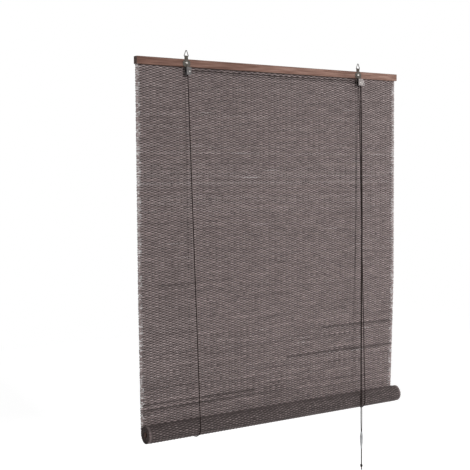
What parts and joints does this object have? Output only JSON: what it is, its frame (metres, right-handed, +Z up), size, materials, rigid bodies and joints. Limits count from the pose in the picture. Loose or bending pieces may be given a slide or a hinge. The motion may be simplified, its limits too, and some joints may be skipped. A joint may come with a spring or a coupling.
{
  "type": "bamboo roll-up blind",
  "caption": "Roll-up blind of dark woven bamboo sticks on a wooden rail, hung by wire rings, drawn up by lift cords through a pulley and a cord lock.",
  "frame": {"origin": "centre of the back face of the rail", "axes": "+X to the right seen from the front, the front faces -Y, +Z up"},
  "size_m": [0.9, 0.0606, 1.2277],
  "materials": {
    "stained_wood": "reddish brown stain, satin",
    "bamboo": "dark espresso stain, matt",
    "bright_steel": "bright plated",
    "plated_steel": "dull plated sheet and wire",
    "dark_nylon": "moulded",
    "cord": "braided",
    "clear_plastic": "translucent"
  },
  "bodies": {
    "blind": {"headrail": "stained_wood", "rear_strip": "stained_wood", "bottom_bar": "stained_wood", "hanging_mat": "bamboo", "rolled_mat": "bamboo", "strip_nails": "bright_steel", "hanger_screws": "bright_steel", "left_axle_rivet": "bright_steel", "right_axle_rivet": "bright_steel", "left_hanger_plate": "plated_steel", "right_hanger_plate": "plated_steel", "left_pulley_housing": "plated_steel", "lock_housing": "plated_steel", "left_lift_cord": "cord", "right_lift_cord": "cord", "left_pull_cord": "cord", "right_pull_cord": "cord", "connector_upper": "clear_plastic"},
    "left_ring": {"left_hanging_ring": "plated_steel"},
    "right_ring": {"right_hanging_ring": "plated_steel"},
    "left_pulley": {"left_pulley_wheel": "dark_nylon"},
    "right_pulley": {"right_pulley_wheel": "dark_nylon"},
    "lock_pin": {"lock_pin": "bright_steel"},
    "lock_roller": {"lock_roller": "bright_steel"},
    "connector_lower": {"connector_lower": "clear_plastic", "tail_cord": "cord", "tail_knot": "cord"}
  },
  "joints": [
    {"name": "left_ring_swing", "type": "hinge", "parent": "blind", "child": "left_ring", "pos_m": [-0.302, -0.01635, 0.0175], "axis": [1, 0, 0], "range_deg": [-100, 140]},
    {"name": "right_ring_swing", "type": "hinge", "parent": "blind", "child": "right_ring", "pos_m": [0.2943, -0.01635, 0.0175], "axis": [1, 0, 0], "range_deg": [-100, 140]},
    {"name": "left_pulley_spin", "type": "hinge", "parent": "blind", "child": "left_pulley", "pos_m": [-0.2985, -0.0232, -0.023], "axis": [0, 1, 0], "continuous": true},
    {"name": "right_pulley_spin", "type": "hinge", "parent": "blind", "child": "right_pulley", "pos_m": [0.2966, -0.0232, -0.023], "axis": [0, 1, 0], "continuous": true},
    {"name": "lock_pin_slide", "type": "slide", "parent": "blind", "child": "lock_pin", "axis": [0.6428, 0, -0.766], "range_m": [0, 0.005]},
    {"name": "lock_roller_spin", "type": "hinge", "parent": "lock_pin", "child": "lock_roller", "pos_m": [0.3034, -0.0232, -0.0245], "axis": [0, 1, 0], "continuous": true},
    {"name": "connector_release", "type": "slide", "parent": "blind", "child": "connector_lower", "axis": [0, 0, -1], "range_m": [0, 0.02]}
  ],
  "couplings": [
    {"joint": "right_pulley_spin", "follows": "left_pulley_spin", "ratio": 1}
  ]
}
